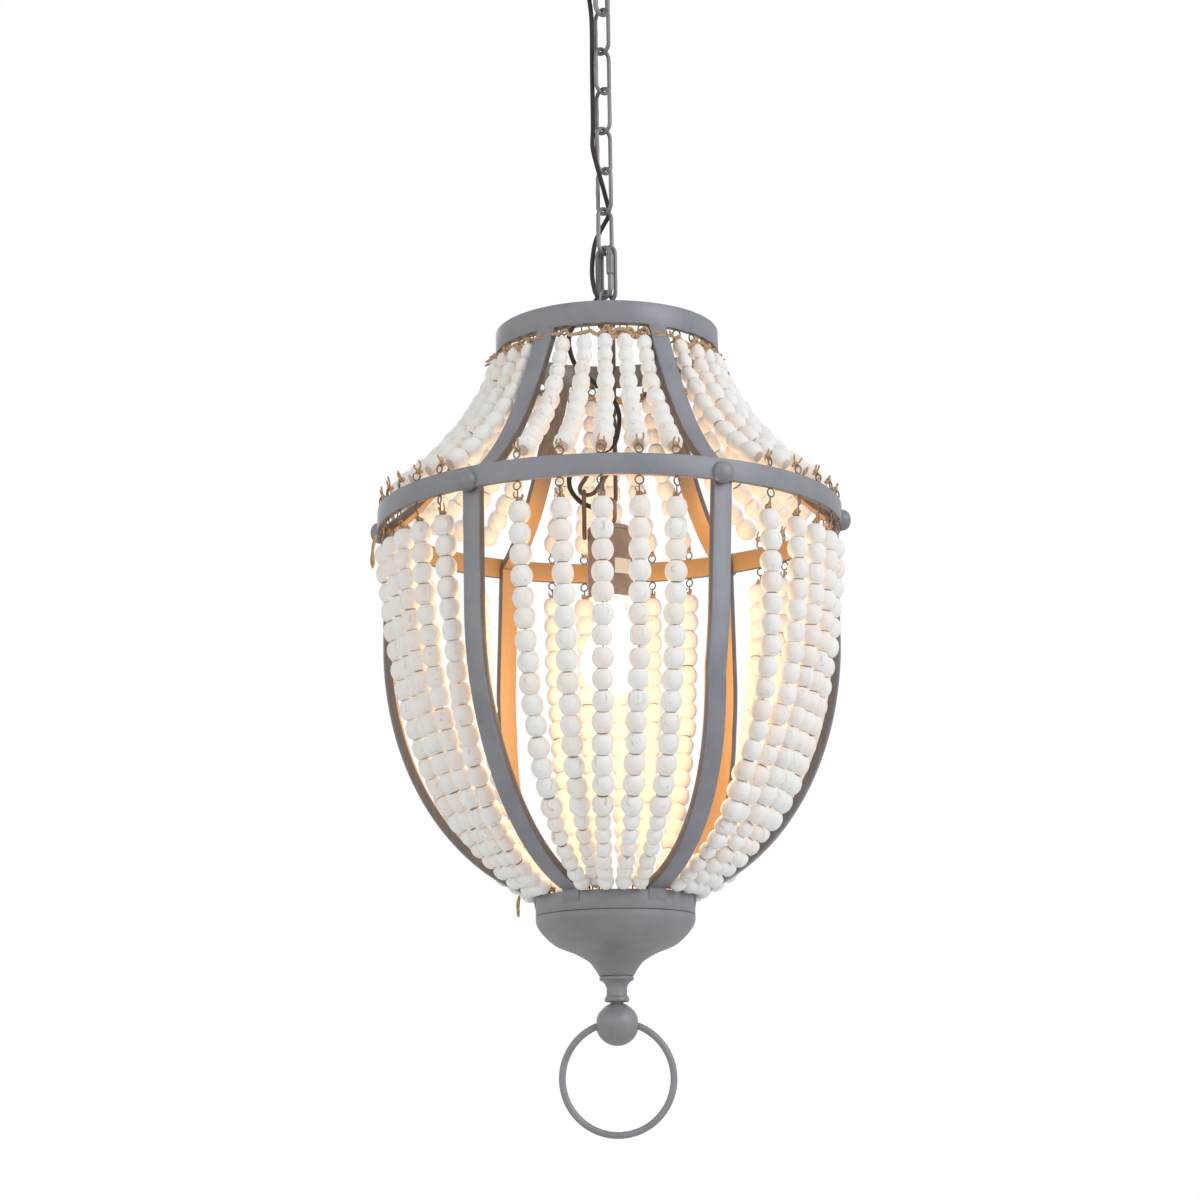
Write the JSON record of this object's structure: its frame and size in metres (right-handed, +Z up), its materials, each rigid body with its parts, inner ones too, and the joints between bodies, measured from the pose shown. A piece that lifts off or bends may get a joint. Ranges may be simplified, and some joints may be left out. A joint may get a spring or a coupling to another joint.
{
  "type": "beaded chandelier",
  "caption": "Lantern-shaped chandelier of iron hoops and ribs with swags of turned wood beads, a domed cup with a ring finial, a lamp on a chain inside and a chain to a ceiling canopy.",
  "frame": {"origin": "centre of the canopy's rim, at the ceiling", "axes": "+Z up into the ceiling, +X to the right as seen from the front, -Y towards the viewer"},
  "size_m": [0.4688, 0.4588, 1.2],
  "materials": {
    "grey_iron": "satin grey paint, brushed through to rust at the edges",
    "dark_iron": "dark oiled iron",
    "chain_iron": "dull plated iron",
    "lampholder": "matt brown",
    "bulb_glass": "clear glass with a faint bloom",
    "bead_wood": "whitewashed, matt",
    "flex_cover": "dark woven cover"
  },
  "bodies": {
    "ceiling": {"ceiling_canopy": "grey_iron", "ceiling_loop": "grey_iron", "flex": "flex_cover"},
    "link_1": {"chain_link_1": "chain_iron"},
    "link_2": {"chain_link_2": "chain_iron"},
    "link_3": {"chain_link_3": "chain_iron"},
    "link_4": {"chain_link_4": "chain_iron"},
    "link_5": {"chain_link_5": "chain_iron"},
    "link_6": {"chain_link_6": "chain_iron"},
    "quick_link": {"quick_link": "chain_iron", "quick_link_sleeve": "chain_iron", "spare_link": "chain_iron"},
    "lantern": {"hanger_eye": "dark_iron", "top_hoop": "grey_iron", "middle_band": "grey_iron", "rib_1": "grey_iron", "rib_2": "grey_iron", "rib_3": "grey_iron", "rib_4": "grey_iron", "rib_5": "grey_iron", "rib_6": "grey_iron", "cup_collar": "grey_iron", "cup_bowl": "grey_iron", "finial_neck": "grey_iron", "finial_ball": "grey_iron", "bead_strand_1_1": "bead_wood", "bead_strand_1_2": "bead_wood", "bead_strand_1_3": "bead_wood", "bead_strand_1_4": "bead_wood", "bead_strand_1_5": "bead_wood", "bead_strand_2_1": "bead_wood", "bead_strand_2_2": "bead_wood", "bead_strand_2_3": "bead_wood", "bead_strand_2_4": "bead_wood", "bead_strand_2_5": "bead_wood", "bead_strand_3_1": "bead_wood", "bead_strand_3_2": "bead_wood", "bead_strand_3_3": "bead_wood", "bead_strand_3_4": "bead_wood", "bead_strand_3_5": "bead_wood", "bead_strand_4_1": "bead_wood", "bead_strand_4_2": "bead_wood", "bead_strand_4_3": "bead_wood", "bead_strand_4_4": "bead_wood", "bead_strand_4_5": "bead_wood", "bead_strand_5_1": "bead_wood", "bead_strand_5_2": "bead_wood", "bead_strand_5_3": "bead_wood", "bead_strand_5_4": "bead_wood", "bead_strand_5_5": "bead_wood", "bead_strand_6_1": "bead_wood", "bead_strand_6_2": "bead_wood", "bead_strand_6_3": "bead_wood", "bead_strand_6_4": "bead_wood", "bead_strand_6_5": "bead_wood"},
    "ring": {"finial_ring": "grey_iron"},
    "lamp": {"lamp_chain": "dark_iron", "lampholder_cap": "lampholder", "lampholder_shell": "lampholder", "bulb": "bulb_glass"}
  },
  "joints": [
    {"name": "link_1_swing", "type": "hinge", "parent": "ceiling", "child": "link_1", "pos_m": [0, 0, -0.0774], "axis": [0.7071, 0.7071, 0], "range_deg": [-10, 10], "deforming": ["flex"]},
    {"name": "link_2_swing", "type": "hinge", "parent": "link_1", "child": "link_2", "pos_m": [0, 0, -0.1199], "axis": [0.7071, -0.7071, 0], "range_deg": [-10, 10], "deforming": ["flex"]},
    {"name": "link_3_swing", "type": "hinge", "parent": "link_2", "child": "link_3", "pos_m": [0, 0, -0.1627], "axis": [0.7071, 0.7071, 0], "range_deg": [-10, 10], "deforming": ["flex"]},
    {"name": "link_4_swing", "type": "hinge", "parent": "link_3", "child": "link_4", "pos_m": [0, 0, -0.2055], "axis": [0.7071, -0.7071, 0], "range_deg": [-10, 10], "deforming": ["flex"]},
    {"name": "link_5_swing", "type": "hinge", "parent": "link_4", "child": "link_5", "pos_m": [0, 0, -0.2483], "axis": [0.7071, 0.7071, 0], "range_deg": [-10, 10], "deforming": ["flex"]},
    {"name": "link_6_swing", "type": "hinge", "parent": "link_5", "child": "link_6", "pos_m": [0, 0, -0.2911], "axis": [0.7071, -0.7071, 0], "range_deg": [-10, 10], "deforming": ["flex"]},
    {"name": "quick_link_swing", "type": "hinge", "parent": "link_6", "child": "quick_link", "pos_m": [0, 0, -0.3339], "axis": [0.7071, 0.7071, 0], "range_deg": [-10, 10], "deforming": ["flex"]},
    {"name": "lantern_swing", "type": "hinge", "parent": "quick_link", "child": "lantern", "pos_m": [-0.00156, -0.00156, -0.37979], "axis": [0.7071, -0.7071, 0], "range_deg": [-10, 10], "deforming": ["flex"]},
    {"name": "ring_swing", "type": "hinge", "parent": "lantern", "child": "ring", "pos_m": [0, 0, -1.0943], "axis": [1, 0, 0], "range_deg": [-130, 130]},
    {"name": "lamp_swing", "type": "hinge", "parent": "lantern", "child": "lamp", "pos_m": [0, 0, -0.42018], "axis": [0.7071, 0.7071, 0], "range_deg": [-20, 20], "deforming": ["flex"]}
  ]
}
